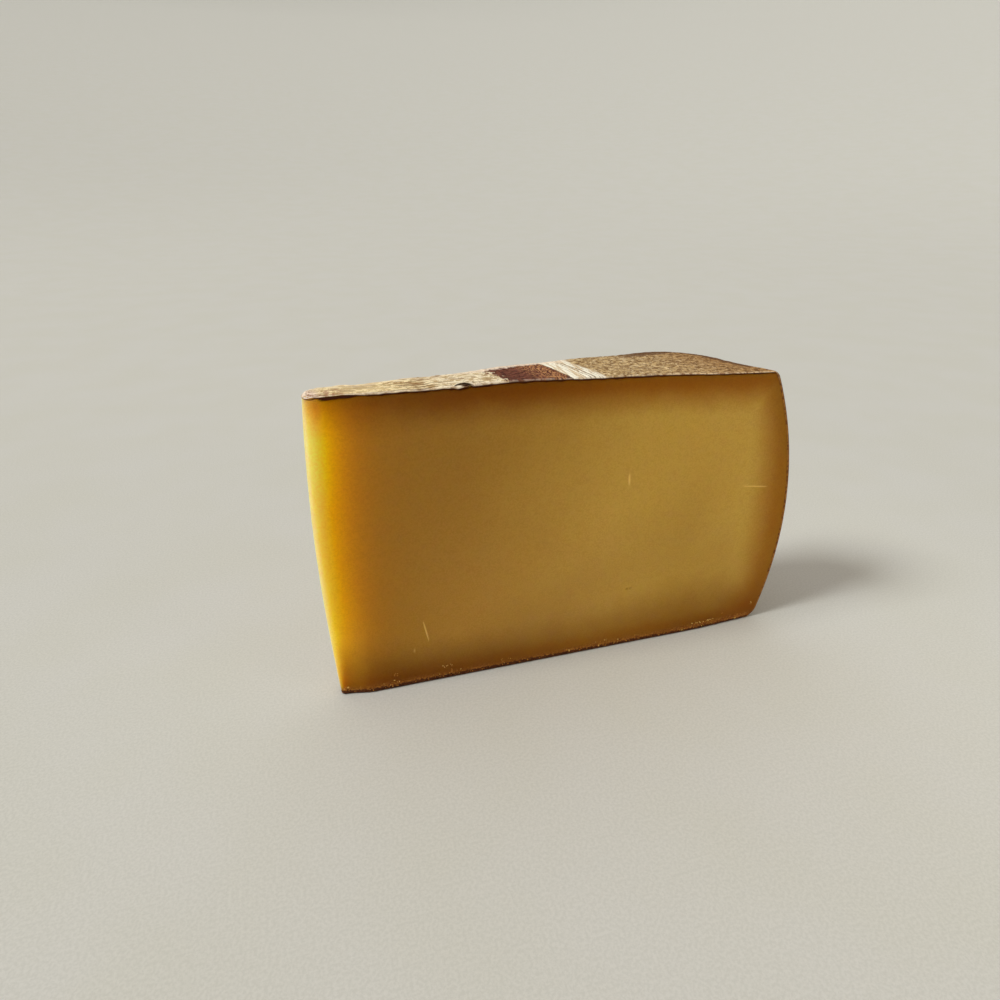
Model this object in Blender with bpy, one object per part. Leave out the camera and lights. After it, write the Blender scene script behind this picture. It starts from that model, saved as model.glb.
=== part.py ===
"""A slab of hard mountain cheese, cut from a wheel and standing on its rind.

The wheel lies flat, so its rind is the slab's base, its top and its rounded heel. The front, the back and the
left end are cuts. Lengths are in millimetres, measured from the slab's front left foot: X runs along the front
cut to the heel, Y to the back and Z up. The last step puts the origin in the middle of the base, in metres.
"""

import bmesh
import bpy
import numpy as np

MM = 0.001

# The wheel's section, as the front cut shows it
TOP_HEIGHT = 100.4
RIM_DROP = 4.4
DROP_START, DROP_RUN, DROP_POWER = 52.0, 95.0, 1.35
HEEL_REACH, HEEL_RADIUS, HEEL_LEVEL = 159.0, 131.0, 38.0
HEEL_LEAN = 0.46

# The left end swells a little, and bends back towards the rear
END_REACH, END_SWELL, END_LEVEL = -3.3, 2.2, 52.0
END_BEND = 0.01

# The back cut runs at a slight angle, and turns away from the front cut at the knee
END_THICKNESS, BACK_SLOPE = 8.0, 0.05
KNEE_PLACE, KNEE_SLOPE, KNEE_ROUNDNESS = 38.0, 0.207, 14.0

# The front cut bows out along its foot
FOOT_BOW, FOOT_HEIGHT = 1.7, 42.0
FOOT_FROM, FOOT_TO = 9.0, 122.0

# Radii of the upright corners, seen from above. The front left one is sharp at the foot and softens upwards.
FRONT_LEFT, BACK_LEFT, FRONT_RIGHT, BACK_RIGHT = 3.4, 4.3, 0.8, 12.0
SHARP_FRONT_LEFT, SOFTENING_HEIGHT = 1.3, 14.0
LEAST_RADIUS = 0.2

# Radii of the long edges, at the top and at the foot
CUT_EDGE_TOP, CUT_EDGE_FOOT = 0.7, 0.9
END_EDGE_TOP, END_EDGE_FOOT = 1.8, 0.6
HEEL_EDGE_TOP, HEEL_EDGE_FOOT = 3.0, 4.0

# The rind's lip stands out over the paste at the top of both long cuts, in an uneven line
LIP_REACH, LIP_DEPTH, LIP_SOFTNESS = 0.45, 1.1, 0.5
LIP_FADE = 9.0
WAVE_LONG, WAVE_SHORT = 5.1, 2.3

# A flake of the top rind has lifted near the front edge, over a small hollow
FLAKE_PLACE, FLAKE_SPREAD, FLAKE_LIFT = (42.6, 4.6), (2.6, 1.3), 1.1
HOLLOW_PLACE, HOLLOW_SPREAD, HOLLOW_DEPTH = (43.6, 2.2), (1.6, 0.8), 0.5
TOP_UNEVENNESS = 0.12

# Where the block is cut for bending: along it, through it and up it
FINE_LEFT = (-2.8, -2.1, -1.2, 0.0, 1.8, 4.4)
FLAKE_STEPS = (38.0, 39.6, 40.8, 41.8, 42.7, 43.6, 44.6, 46.0, 48.0)
FINE_RIGHT = (140.0, 143.2, 146.0, 148.4, 150.6, 152.5, 154.2, 155.6, 156.8, 157.8, 158.5)
EVEN_STEP = 3.6
FLAKE_CLEARANCE = 1.5
THROUGH = (0.04, 0.10, 0.18, 0.28, 0.40, 0.54, 0.68, 0.80, 0.89, 0.96)
NEAR_TOP = (0.1, 0.35, 0.75, 1.2, 1.8, 2.8, 5.0, 9.0)
NEAR_FOOT = (0.12, 0.45, 1.0, 2.0, 3.6, 6.5, 11.0)
UPRIGHT_STEP = 9.0
SETTLING_ROUNDS = 6

# Finishes: colour, roughness
PASTE_FINISH = ((0.66, 0.42, 0.09), 0.42)
RIND_FINISH = ((0.42, 0.27, 0.13), 0.78)


def soft_step(value):
    """0 below 0, 1 above 1, and a smooth rise between."""
    held = np.clip(value, 0.0, 1.0)
    return held * held * (3.0 - 2.0 * held)


def soft_ramp(value, roundness):
    """0 far below 0, the value itself far above, and a rounded knee between."""
    return 0.5 * (value + np.hypot(value, roundness))


def mound(x, y, place, spread):
    """1 at its place, falling away over its spread."""
    return np.exp(-(((x - place[0]) / spread[0]) ** 2) - ((y - place[1]) / spread[1]) ** 2)


def unevenness(x, phase):
    """A wave of two lengths along the rind's edge, between about -1 and 1."""
    return 0.6 * np.sin(x / WAVE_LONG + phase) + 0.4 * np.sin(x / WAVE_SHORT + 2.0 * phase)


def edge_inset(radius, distance):
    """How far an edge of this radius draws its side in, at a distance from the edge's face."""
    above = np.clip(radius - distance, 0.0, radius)
    return radius - np.sqrt(radius * radius - above * above)


def top_height(x, y):
    """The wheel's top: flat, then falling to the rim, which runs parallel to the heel."""
    along = x + HEEL_LEAN * y * np.clip(x / HEEL_REACH, 0.0, 1.0)
    run = np.clip((along - DROP_START) / DROP_RUN, 0.0, None)
    swell = TOP_UNEVENNESS * np.sin(x / 7.3 + 0.4 * y)
    flake = FLAKE_LIFT * mound(x, y, FLAKE_PLACE, FLAKE_SPREAD)
    hollow = HOLLOW_DEPTH * mound(x, y, HOLLOW_PLACE, HOLLOW_SPREAD)
    return TOP_HEIGHT - RIM_DROP * run**DROP_POWER + swell + flake - hollow


def heel_x(y, z):
    """The heel: an arc in the wheel's section, leaning left towards the back."""
    arc = HEEL_RADIUS - np.sqrt(HEEL_RADIUS**2 - (z - HEEL_LEVEL) ** 2)
    return HEEL_REACH - arc - HEEL_LEAN * y


def end_x(y, z):
    """The cut end on the left, fullest at half height."""
    return END_REACH + END_SWELL * ((z - END_LEVEL) / END_LEVEL) ** 2 + END_BEND * y * y


def lip(x, below_top, phase):
    """How far the top rind's edge stands out over the paste."""
    wave = unevenness(x, phase)
    depth = LIP_DEPTH * (1.0 + 0.3 * wave)
    reach = LIP_REACH * (1.0 + 0.4 * unevenness(x, phase + 1.3))
    fade = soft_step(x / LIP_FADE) * soft_step((HEEL_REACH - x) / LIP_FADE)
    return reach * fade * (1.0 - soft_step((below_top - depth) / LIP_SOFTNESS + 0.5))


def front_y(x, z, below_top):
    """The front cut: upright, bowed out along its foot, with the lip at its top."""
    along = soft_step(x / FOOT_FROM) * soft_step((HEEL_REACH - x) / (HEEL_REACH - FOOT_TO))
    bow = FOOT_BOW * along * (1.0 - soft_step(z / FOOT_HEIGHT))
    return -bow - lip(x, below_top, 0.7)


def back_y(x, below_top):
    """The back cut: thin at the left end, turning away at the knee."""
    turn = soft_ramp(x - KNEE_PLACE, KNEE_ROUNDNESS)
    return END_THICKNESS + BACK_SLOPE * x + KNEE_SLOPE * turn + lip(x, below_top, 2.9)


def rounded_corner(across, along, radius):
    """Distances from two sides, moved so that the square corner between them is an arc."""
    deep = np.maximum(radius - across, 0.0)
    wide = np.maximum(radius - along, 0.0)
    reach = np.maximum(deep, wide)
    scale = np.where(reach > 0.0, reach / np.maximum(np.hypot(deep, wide), 1e-9), 1.0)
    inside = (deep > 0.0) & (wide > 0.0)
    return (
        np.where(inside, radius - deep * scale, across),
        np.where(inside, radius - wide * scale, along),
    )


def round_plan(u, v, z, length, thickness, drawn_in):
    """The four upright corners, rounded in the shares u along the slab and v through it."""
    softened = SHARP_FRONT_LEFT + (FRONT_LEFT - SHARP_FRONT_LEFT) * soft_step(z / SOFTENING_HEIGHT)
    for radius, from_left, from_front in (
        (softened, True, True),
        (BACK_LEFT, True, False),
        (FRONT_RIGHT, False, True),
        (BACK_RIGHT, False, False),
    ):
        across = (u if from_left else 1.0 - u) * length
        along = (v if from_front else 1.0 - v) * thickness
        across, along = rounded_corner(across, along, np.maximum(radius - drawn_in, LEAST_RADIUS))
        u = across / length if from_left else 1.0 - across / length
        v = along / thickness if from_front else 1.0 - along / thickness
    return u, v


def slab_points(share):
    """Points of the unit block, moved onto the slab. Each side depends on the others, so it is settled in rounds."""
    u, v, w = share.T
    x, y = u * HEEL_REACH, v * END_THICKNESS
    for _ in range(SETTLING_ROUNDS):
        z = w * top_height(x, y)
        below_top = (1.0 - w) * top_height(x, y)
        cut_inset = edge_inset(CUT_EDGE_TOP, below_top) + edge_inset(CUT_EDGE_FOOT, z)
        end_inset = edge_inset(END_EDGE_TOP, below_top) + edge_inset(END_EDGE_FOOT, z)
        heel_inset = edge_inset(HEEL_EDGE_TOP, below_top) + edge_inset(HEEL_EDGE_FOOT, z)
        left = end_x(y, z) + end_inset
        right = heel_x(y, z) - heel_inset
        front = front_y(x, z, below_top) + cut_inset
        back = back_y(x, below_top) - cut_inset
        round_u, round_v = round_plan(u, v, z, right - left, back - front, cut_inset)
        x = left + round_u * (right - left)
        y = front + round_v * (back - front)
    return np.column_stack([x, y, w * top_height(x, y)])


def shares_along():
    """Stations along the slab: close together at both ends and at the flake."""
    first, last = FINE_LEFT[-1], FINE_RIGHT[0]
    even = np.arange(first + EVEN_STEP, last - 0.5 * EVEN_STEP, EVEN_STEP)
    before_flake = even < FLAKE_STEPS[0] - FLAKE_CLEARANCE
    past_flake = even > FLAKE_STEPS[-1] + FLAKE_CLEARANCE
    places = np.concatenate([FINE_LEFT, even[before_flake | past_flake], FLAKE_STEPS, FINE_RIGHT])
    return (np.sort(places) - END_REACH) / (HEEL_REACH - END_REACH)


def shares_up():
    """Stations up the slab: close together at the foot and under the top."""
    low, high = NEAR_FOOT[-1], TOP_HEIGHT - NEAR_TOP[-1]
    between = np.arange(low + UPRIGHT_STEP, high - 0.5 * UPRIGHT_STEP, UPRIGHT_STEP)
    near_top = TOP_HEIGHT - np.array(NEAR_TOP)
    return np.sort(np.concatenate([NEAR_FOOT, between, near_top])) / TOP_HEIGHT


def cut_block():
    """A block one unit each way, cut by planes at the stations."""
    block = bmesh.new()
    bmesh.ops.create_cube(block, size=1.0)
    bmesh.ops.translate(block, verts=block.verts, vec=(0.5, 0.5, 0.5))
    for axis, stations in enumerate((shares_along(), THROUGH, shares_up())):
        normal = [0.0, 0.0, 0.0]
        normal[axis] = 1.0
        for station in stations:
            bmesh.ops.bisect_plane(
                block,
                geom=block.verts[:] + block.edges[:] + block.faces[:],
                dist=1e-6,
                plane_co=[station * part for part in normal],
                plane_no=normal,
            )
    return block


def is_rind(face):
    """The top, the base and the heel of the block are rind, and its other faces are cuts."""
    return abs(face.normal.z) > 0.5 or face.normal.x > 0.5


def finish_material(name, finish):
    colour, roughness = finish
    material = bpy.data.materials.new(name)
    material.use_nodes = True
    shader = material.node_tree.nodes["Principled BSDF"]
    shader.inputs["Base Color"].default_value = (*colour, 1.0)
    shader.inputs["Roughness"].default_value = roughness
    shader.inputs["Metallic"].default_value = 0.0
    return material


def clear_scene():
    for thing in list(bpy.data.objects):
        bpy.data.objects.remove(thing)


def make_cheese():
    block = cut_block()
    block.normal_update()
    for face in block.faces:
        face.material_index = int(is_rind(face))
        face.smooth = True
    mesh = bpy.data.meshes.new("cheese")
    block.to_mesh(mesh)
    block.free()

    share = np.empty(len(mesh.vertices) * 3)
    mesh.vertices.foreach_get("co", share)
    points = slab_points(share.reshape(-1, 3))
    points[:, :2] -= 0.5 * (points[:, :2].min(axis=0) + points[:, :2].max(axis=0))
    mesh.vertices.foreach_set("co", (points * MM).ravel())
    mesh.update()

    mesh.materials.append(finish_material("cut_paste", PASTE_FINISH))
    mesh.materials.append(finish_material("rind", RIND_FINISH))
    cheese = bpy.data.objects.new("cheese", mesh)
    bpy.context.scene.collection.objects.link(cheese)
    return cheese


clear_scene()
made = make_cheese()
print(f"{made.name}: {len(made.data.polygons)} faces, size {tuple(round(s * 1000, 1) for s in made.dimensions)} mm")
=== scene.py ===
# %% [markdown]
# A slab of aged mountain cheese
#
# The slab was cut from a large wheel and stands on the wheel's rind. Its top, base and rounded heel are
# rind, and its front, back and left end are cuts. This lesson dresses it in two skins: the golden paste that
# the knife laid bare, and the dry rind that wraps it. Both are surfaces worked out with numpy, so every
# groove and every crumb follows a formula that can be read and changed.
#
# Lengths are millimetres from the front left foot: x runs along the front cut to the heel, y to the back and
# z up. The last step of every piece turns them into metres around the middle of the base.

import bpy
import numpy as np
from mathutils import Euler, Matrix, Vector


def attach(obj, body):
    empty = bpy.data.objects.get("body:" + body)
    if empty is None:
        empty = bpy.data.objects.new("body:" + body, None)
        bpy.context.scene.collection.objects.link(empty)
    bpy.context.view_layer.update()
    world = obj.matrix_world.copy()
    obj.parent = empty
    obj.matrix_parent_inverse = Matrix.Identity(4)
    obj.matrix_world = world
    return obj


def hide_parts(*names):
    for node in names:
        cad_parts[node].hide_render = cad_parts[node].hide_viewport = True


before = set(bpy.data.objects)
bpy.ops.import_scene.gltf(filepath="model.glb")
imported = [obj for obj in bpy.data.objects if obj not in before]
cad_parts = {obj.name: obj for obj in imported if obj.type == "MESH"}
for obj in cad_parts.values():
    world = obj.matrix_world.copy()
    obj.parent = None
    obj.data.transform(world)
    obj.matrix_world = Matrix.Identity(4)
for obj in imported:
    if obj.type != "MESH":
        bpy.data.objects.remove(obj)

MM = 0.001
FOOT_PLACE = np.array([77.55, 16.25, 0.0])
RANDOM_SEED = 11

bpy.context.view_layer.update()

# %% [markdown]
# The camera and the light
#
# The slab is seen from the front left, 26 degrees down, through a wide lens. A soft sun far to the left
# skims along the front cut, so the left end and the top are bright. The room lights the front: it glows
# from above and behind, and a small lamp at the front right helps it. Past the floor the camera
# alone sees a pale wall, because the room's own glow is dark in front.

# %% Camera
CAMERA_PLACE = (-0.07745, -0.19315, 0.1534)
CAMERA_DOWN, CAMERA_TURN = 26.05, -16.44
LENS = 24.3

camera_data = bpy.data.cameras.new("camera")
camera_data.lens = LENS
camera_data.sensor_width = 36.0
camera_data.clip_start = 0.01
camera = bpy.data.objects.new("camera", camera_data)
camera.location = CAMERA_PLACE
camera.rotation_euler = Euler((np.radians(90.0 - CAMERA_DOWN), 0.0, np.radians(CAMERA_TURN)))
bpy.context.scene.collection.objects.link(camera)
bpy.context.scene.camera = camera
bpy.context.scene.view_settings.view_transform = "Standard"
print("camera", CAMERA_PLACE, "lens", LENS)

# %% Lamps and room light
KEY_HEADING, KEY_HEIGHT_ANGLE, KEY_SOFTNESS = 3.4, 45.0, 16.0
KEY_STRENGTH, KEY_COLOUR = 2.25, (0.94, 1.0, 1.03)
FILL_PLACE, FILL_AIM = Vector((0.27, -0.27, 0.13)), Vector((0.055, 0.0, 0.07))
FILL_SIZE, FILL_POWER, FILL_SPREAD, FILL_COLOUR = 0.12, 0.035, 70.0, (1.0, 0.95, 0.86)
ROOM_COLOUR, WALL_COLOUR = (1.0, 0.965, 0.925), (0.60, 0.59, 0.52)
ROOM_AXIS = (-0.15, 0.58, 0.80)
ROOM_RISE = {"From Min": 0.0, "From Max": 0.95, "To Min": 0.01, "To Max": 0.76}


def add_lamp(name, kind, colour, strength, place, aim):
    """A lamp that faces its aim."""
    lamp_data = bpy.data.lights.new(name, kind)
    lamp_data.color = colour
    lamp_data.energy = strength
    lamp = bpy.data.objects.new(name, lamp_data)
    lamp.location = place
    lamp.rotation_euler = (aim - place).to_track_quat("-Z", "Y").to_euler()
    bpy.context.scene.collection.objects.link(lamp)
    return lamp_data


def light_room():
    """The glow rises smoothly with the share of each direction that lies along an axis. Rays straight
    from the camera see the wall's plain colour."""
    room = bpy.data.worlds.new("room")
    room.use_nodes = True
    nodes, links = room.node_tree.nodes, room.node_tree.links
    lean = nodes.new("ShaderNodeVectorMath")
    lean.operation = "DOT_PRODUCT"
    links.new(nodes.new("ShaderNodeTexCoord").outputs["Generated"], lean.inputs[0])
    lean.inputs[1].default_value = Vector(ROOM_AXIS).normalized()
    rise = nodes.new("ShaderNodeMapRange")
    rise.interpolation_type = "SMOOTHSTEP"
    links.new(lean.outputs["Value"], rise.inputs["Value"])
    for label, value in ROOM_RISE.items():
        rise.inputs[label].default_value = value
    glow = nodes["Background"]
    glow.inputs["Color"].default_value = (*ROOM_COLOUR, 1.0)
    links.new(rise.outputs["Result"], glow.inputs["Strength"])
    wall = nodes.new("ShaderNodeBackground")
    wall.inputs["Color"].default_value = (*WALL_COLOUR, 1.0)
    seen = nodes.new("ShaderNodeMixShader")
    links.new(nodes.new("ShaderNodeLightPath").outputs["Is Camera Ray"], seen.inputs[0])
    links.new(glow.outputs[0], seen.inputs[1])
    links.new(wall.outputs[0], seen.inputs[2])
    links.new(seen.outputs[0], nodes["World Output"].inputs["Surface"])
    bpy.context.scene.world = room


heading, height_angle = np.radians(KEY_HEADING), np.radians(KEY_HEIGHT_ANGLE)
key_way = Vector((np.cos(heading) * np.cos(height_angle), np.sin(heading) * np.cos(height_angle),
                  -np.sin(height_angle)))
key_lamp = add_lamp("key_lamp", "SUN", KEY_COLOUR, KEY_STRENGTH, -key_way, Vector((0.0, 0.0, 0.0)))
key_lamp.angle = np.radians(KEY_SOFTNESS)
fill_lamp = add_lamp("fill_lamp", "AREA", FILL_COLOUR, FILL_POWER, FILL_PLACE, FILL_AIM)
fill_lamp.shape = "SQUARE"
fill_lamp.size = FILL_SIZE
fill_lamp.spread = np.radians(FILL_SPREAD)
light_room()

# %% [markdown]
# Tools for surfaces
#
# Three small tools carry everything. `spread_stations` places grid lines, close where detail needs them.
# `box_lattice` gives the closed skin of a block of grid cells: bend its points and any solid appears, with
# its seams shared. `ripple` is smooth random unevenness, the same on each run.

# %% Stations and lattice
def spread_stations(low, high, step, spots=()):
    """Places from low to high, a step apart and closer at each spot (place, reach, step): equal shares of the
    running total of a density, which is one over the step."""
    fine = np.linspace(low, high, 20001)
    density = np.full_like(fine, 1.0 / step)
    for place, reach, spot_step in spots:
        density += (1.0 / spot_step - 1.0 / step) * np.exp(-(((fine - place) / reach) ** 4))
    total = np.concatenate([[0.0], np.cumsum(0.5 * (density[1:] + density[:-1]) * np.diff(fine))])
    return np.interp(np.linspace(0.0, total[-1], int(round(total[-1])) + 1), total, fine)


def box_lattice(counts):
    """The closed skin of a block of grid points, counts of them each way: the grid place of each skin point,
    and the quads that join them, facing outwards. Points along the edges are shared."""
    sides = []
    for axis in range(3):
        first, second = [other for other in range(3) if other != axis]
        along, across = np.meshgrid(np.arange(counts[first]), np.arange(counts[second]), indexing="ij")
        for layer in (0, counts[axis] - 1):
            place = np.empty((3,) + along.shape, dtype=np.int64)
            place[axis], place[first], place[second] = layer, along, across
            code = (place[0] * counts[1] + place[1]) * counts[2] + place[2]
            around = [code[:-1, :-1], code[1:, :-1], code[1:, 1:], code[:-1, 1:]]
            quads = np.stack(around, axis=-1).reshape(-1, 4)
            faces_out = (axis != 1) == (layer > 0)
            sides.append(quads if faces_out else quads[:, ::-1])
    used, quads = np.unique(np.concatenate(sides), return_inverse=True)
    return np.stack(np.unravel_index(used, counts), axis=-1), quads.reshape(-1, 4)


print("a lattice of 3 x 3 x 3 points has", len(box_lattice((3, 3, 3))[1]), "quads")


# %% Steps, bells and ripples
def soft_step(value):
    """0 below 0, 1 above 1, and a smooth rise between: three squares less two cubes."""
    held = np.clip(value, 0.0, 1.0)
    return held * held * (3.0 - 2.0 * held)


def ramp(value, start, run):
    """A soft step that begins at start and is full a run later."""
    return soft_step((value - start) / run)


def bell(value, width):
    """1 at 0, falling off both ways: e to the power of minus the square of the value over the width."""
    return np.exp(-((value / width) ** 2))


RIPPLE_SIZE = 256
ripple_table = np.random.default_rng(RANDOM_SEED).random((RIPPLE_SIZE, RIPPLE_SIZE))


def ripple(x, y, seed=0):
    """Smooth hills a unit apart, from -1 to 1: random heights on a unit grid, blended by soft steps."""
    x, y = x + 17.31 * seed, y + 31.73 * seed
    column, row = np.floor(x).astype(int), np.floor(y).astype(int)
    right, up = soft_step(x - column), soft_step(y - row)

    def height(dx, dy):
        return ripple_table[(column + dx) % RIPPLE_SIZE, (row + dy) % RIPPLE_SIZE]

    low = height(0, 0) * (1.0 - right) + height(1, 0) * right
    high = height(0, 1) * (1.0 - right) + height(1, 1) * right
    return 2.0 * (low * (1.0 - up) + high * up) - 1.0


def layered_ripple(x, y, seed, layers=3):
    """Hills with smaller hills on them: each layer is twice as fine and half as high."""
    return sum(0.5**n * ripple(x * 2.0**n, y * 2.0**n, seed + n) for n in range(layers))


print("ripple table:", ripple_table.shape)


# %% Normals and pieces
def point_normals(points, quads):
    """Each point's outward direction: the sum of its quads' normals, each the cross product of diagonals."""
    corners = [points[quads[:, n]] for n in range(4)]
    facing = np.cross(corners[2] - corners[0], corners[3] - corners[1])
    total = np.zeros_like(points)
    for n in range(4):
        np.add.at(total, quads[:, n], facing)
    return total / np.maximum(np.linalg.norm(total, axis=1, keepdims=True), 1e-12)


def add_piece(name, points, quads, slot_name, **fields):
    """Puts points in mm and quads into a new mesh in metres, with one number a point for each field."""
    mesh = bpy.data.meshes.new(name)
    mesh.vertices.add(len(points))
    mesh.vertices.foreach_set("co", ((points - FOOT_PLACE) * MM).astype(np.float32).ravel())
    mesh.loops.add(quads.size)
    mesh.loops.foreach_set("vertex_index", quads.astype(np.int32).ravel())
    mesh.polygons.add(len(quads))
    mesh.polygons.foreach_set("loop_start", np.arange(0, quads.size, 4, dtype=np.int32))
    mesh.polygons.foreach_set("use_smooth", np.ones(len(quads), dtype=bool))
    mesh.update(calc_edges=True)
    for label, values in fields.items():
        values = np.broadcast_to(values, len(points)).astype(np.float32)
        mesh.attributes.new(label, "FLOAT", "POINT").data.foreach_set("value", np.ascontiguousarray(values))
    piece = bpy.data.objects.new(name, mesh)
    bpy.context.scene.collection.objects.link(piece)
    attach(piece, "root")
    print(f"{name}: {len(points)} points, {2 * len(quads)} triangles")
    return piece


# %% [markdown]
# The slab's own form
#
# The wheel's section, as the front cut shows, has a flat top that falls to the rim, a heel that is an arc,
# and a left end that swells. The slab is thin at the left and thickens past a knee. One function bends a
# unit block into that form. A `peel` takes the rind's sides off by a depth, so rind and paste come
# from the same function and always fit.

# %% Sizes
TOP_HEIGHT, TOP_UNEVENNESS = 100.4, 0.12
RIM_DROP, DROP_START, DROP_RUN, DROP_POWER = 4.4, 52.0, 95.0, 1.35
HEEL_REACH, HEEL_RADIUS, HEEL_LEVEL, HEEL_LEAN = 158.7, 131.0, 38.0, 0.46
END_REACH, END_SWELL, END_LEVEL, END_BEND = -3.42, 2.2, 52.0, 0.01
END_THICKNESS, BACK_SLOPE = 8.0, 0.05
KNEE_PLACE, KNEE_SLOPE, KNEE_ROUNDNESS = 38.0, 0.2055, 14.0
FOOT_BOW, FOOT_HEIGHT, FOOT_FROM, FOOT_TO = 1.5, 42.0, 9.0, 122.0
# Radii of the upright corners
FRONT_LEFT, BACK_LEFT, FRONT_RIGHT, BACK_RIGHT = 3.4, 4.3, 0.8, 12.0
SHARP_FRONT_LEFT, SOFTENING_HEIGHT, LEAST_RADIUS = 1.3, 14.0, 0.2
# Radii of the edges at the top and at the foot
CUT_EDGE_TOP, CUT_EDGE_FOOT = 0.6, 0.5
END_EDGE_TOP, END_EDGE_FOOT = 1.8, 0.6
HEEL_EDGE_TOP, HEEL_EDGE_FOOT = 2.0, 4.0
SETTLING_ROUNDS = 6
LENGTH = HEEL_REACH - END_REACH
print("slab: top at", TOP_HEIGHT, "mm, length", round(LENGTH, 2), "mm")


# %% The slab as a function
def edge_inset(radius, distance):
    """How far a rounded edge draws its side in, at a distance from the edge's face: a quarter circle."""
    above = np.clip(radius - distance, 0.0, radius)
    return radius - np.sqrt(radius * radius - above * above)


def top_height(x, y):
    """The wheel's top: flat, then falling by a power of the way to the rim, which runs beside the heel."""
    along = x + HEEL_LEAN * y * np.clip(x / HEEL_REACH, 0.0, 1.0)
    run = np.clip((along - DROP_START) / DROP_RUN, 0.0, None)
    return TOP_HEIGHT - RIM_DROP * run**DROP_POWER + TOP_UNEVENNESS * np.sin(x / 7.3 + 0.4 * y)


def heel_x(y, z):
    """The heel: an arc in the wheel's section, leaning left towards the back."""
    return HEEL_REACH - HEEL_RADIUS + np.sqrt(HEEL_RADIUS**2 - (z - HEEL_LEVEL) ** 2) - HEEL_LEAN * y


def end_x(y, z):
    """The cut end on the left: a parabola, fullest at half height."""
    return END_REACH + END_SWELL * ((z - END_LEVEL) / END_LEVEL) ** 2 + END_BEND * y * y


def front_y(x, z):
    """The front cut: upright, bowed out along its foot by a soft step up and along."""
    along = soft_step(x / FOOT_FROM) * soft_step((HEEL_REACH - x) / (HEEL_REACH - FOOT_TO))
    return -FOOT_BOW * along * (1.0 - soft_step(z / FOOT_HEIGHT))


def back_y(x):
    """The back cut: a straight slope, and a steeper one past a knee rounded as a hyperbola."""
    past_knee = x - KNEE_PLACE
    bent = 0.5 * (past_knee + np.hypot(past_knee, KNEE_ROUNDNESS))
    return END_THICKNESS + BACK_SLOPE * x + KNEE_SLOPE * bent


def rounded_corner(across, along, radius):
    """Distances from two sides, moved so that the square corner between them is an arc."""
    deep, wide = np.maximum(radius - across, 0.0), np.maximum(radius - along, 0.0)
    scale = np.maximum(deep, wide) / np.maximum(np.hypot(deep, wide), 1e-9)
    inside = (deep > 0.0) & (wide > 0.0)
    return np.where(inside, radius - deep * scale, across), np.where(inside, radius - wide * scale, along)


def round_left_corners(u, v, z, length, thickness, drawn_in):
    """The two upright corners of the cut end, rounded in the shares u along the slab and v through it."""
    softened = SHARP_FRONT_LEFT + (FRONT_LEFT - SHARP_FRONT_LEFT) * soft_step(z / SOFTENING_HEIGHT)
    across, along = rounded_corner(u * length, v * thickness, np.maximum(softened - drawn_in, LEAST_RADIUS))
    u, v = across / length, along / thickness
    back_radius = np.maximum(BACK_LEFT - drawn_in, LEAST_RADIUS)
    across, along = rounded_corner(u * length, (1.0 - v) * thickness, back_radius)
    return across / length, 1.0 - along / thickness


def slab_points(u, v, w, peel):
    """Points at shares u along, v through and w up the slab, with its rind sides peeled by a depth. Each side
    depends on the others, so it is settled in rounds."""
    x, y = u * HEEL_REACH, v * END_THICKNESS
    for _ in range(SETTLING_ROUNDS):
        height = top_height(x, y)
        z = peel + w * (height - 2.0 * peel)
        below_top = height - z
        cut_inset = edge_inset(CUT_EDGE_TOP, below_top) + edge_inset(CUT_EDGE_FOOT, z)
        end_inset = edge_inset(END_EDGE_TOP, below_top) + edge_inset(END_EDGE_FOOT, z)
        front, back = front_y(x, z) + cut_inset, back_y(x) - cut_inset
        left = end_x(y, z) + end_inset
        right = heel_x(y, z) - peel - edge_inset(HEEL_EDGE_TOP, below_top) - edge_inset(HEEL_EDGE_FOOT, z)
        thick = back - front
        right = right - edge_inset(FRONT_RIGHT, v * thick) - edge_inset(BACK_RIGHT, (1.0 - v) * thick)
        round_u, round_v = round_left_corners(u, v, z, right - left, thick, cut_inset)
        x = left + round_u * (right - left)
        y = front + round_v * (back - front)
    return np.column_stack([x, y, peel + w * (top_height(x, y) - 2.0 * peel)])


print("thickness at the knee:", round(float(back_y(KNEE_PLACE)), 2), "mm")

# %% [markdown]
# The rind's edge
#
# On the cuts the rind is a strip about 0.9 mm thick at the left and 0.5 mm towards the heel. It is drier and
# harder than the paste, so the wire left it standing proud, with a crumbly lower border and a dark crevice
# under it. These few functions are shared: the rind follows its strip, and the paste keeps its crevice.

# %% Edge of the rind
LIP_REACH, LIP_START = 0.42, 5.0
EDGE_PROUD, UNDERCUT = 0.10, 0.45
HOLLOW_PLACE, HOLLOW_SPREAD, HOLLOW_DEPTH = (42.7, 0.25), (1.2, 0.8), 0.5
LUMP_PLACE, NOTCH_PLACE = 40.8, 44.0
LEAST_RIND = 0.3


def top_rind_depth(x, y):
    """Thickness of the top rind: 0.9 mm at the left, less past the middle, with an uneven lower border. The
    rubbed corner is thicker, and the stretch beside it has worn thin."""
    steady = 0.62 + 0.27 * (1.0 - ramp(x, 42.0, 26.0)) - 0.12 * ramp(x, 90.0, 40.0)
    steady += 0.3 * (1.0 - ramp(x, 0.3, 1.6))
    steady -= 0.42 * ramp(x, 0.8, 1.6) * (1.0 - ramp(x, 9.0, 9.0))
    rough = 0.16 * (1.0 - 0.6 * ramp(x, 50.0, 40.0))
    wave = rough * layered_ripple(x / 3.4, y / 3.0, 21)
    notch = -0.4 * bell(x - NOTCH_PLACE, 0.7)
    lump = 0.35 * bell(x - LUMP_PLACE, 1.2)
    near_front = bell(y, 2.0)
    return np.maximum(steady + wave + (notch + lump) * near_front, LEAST_RIND)


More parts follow.
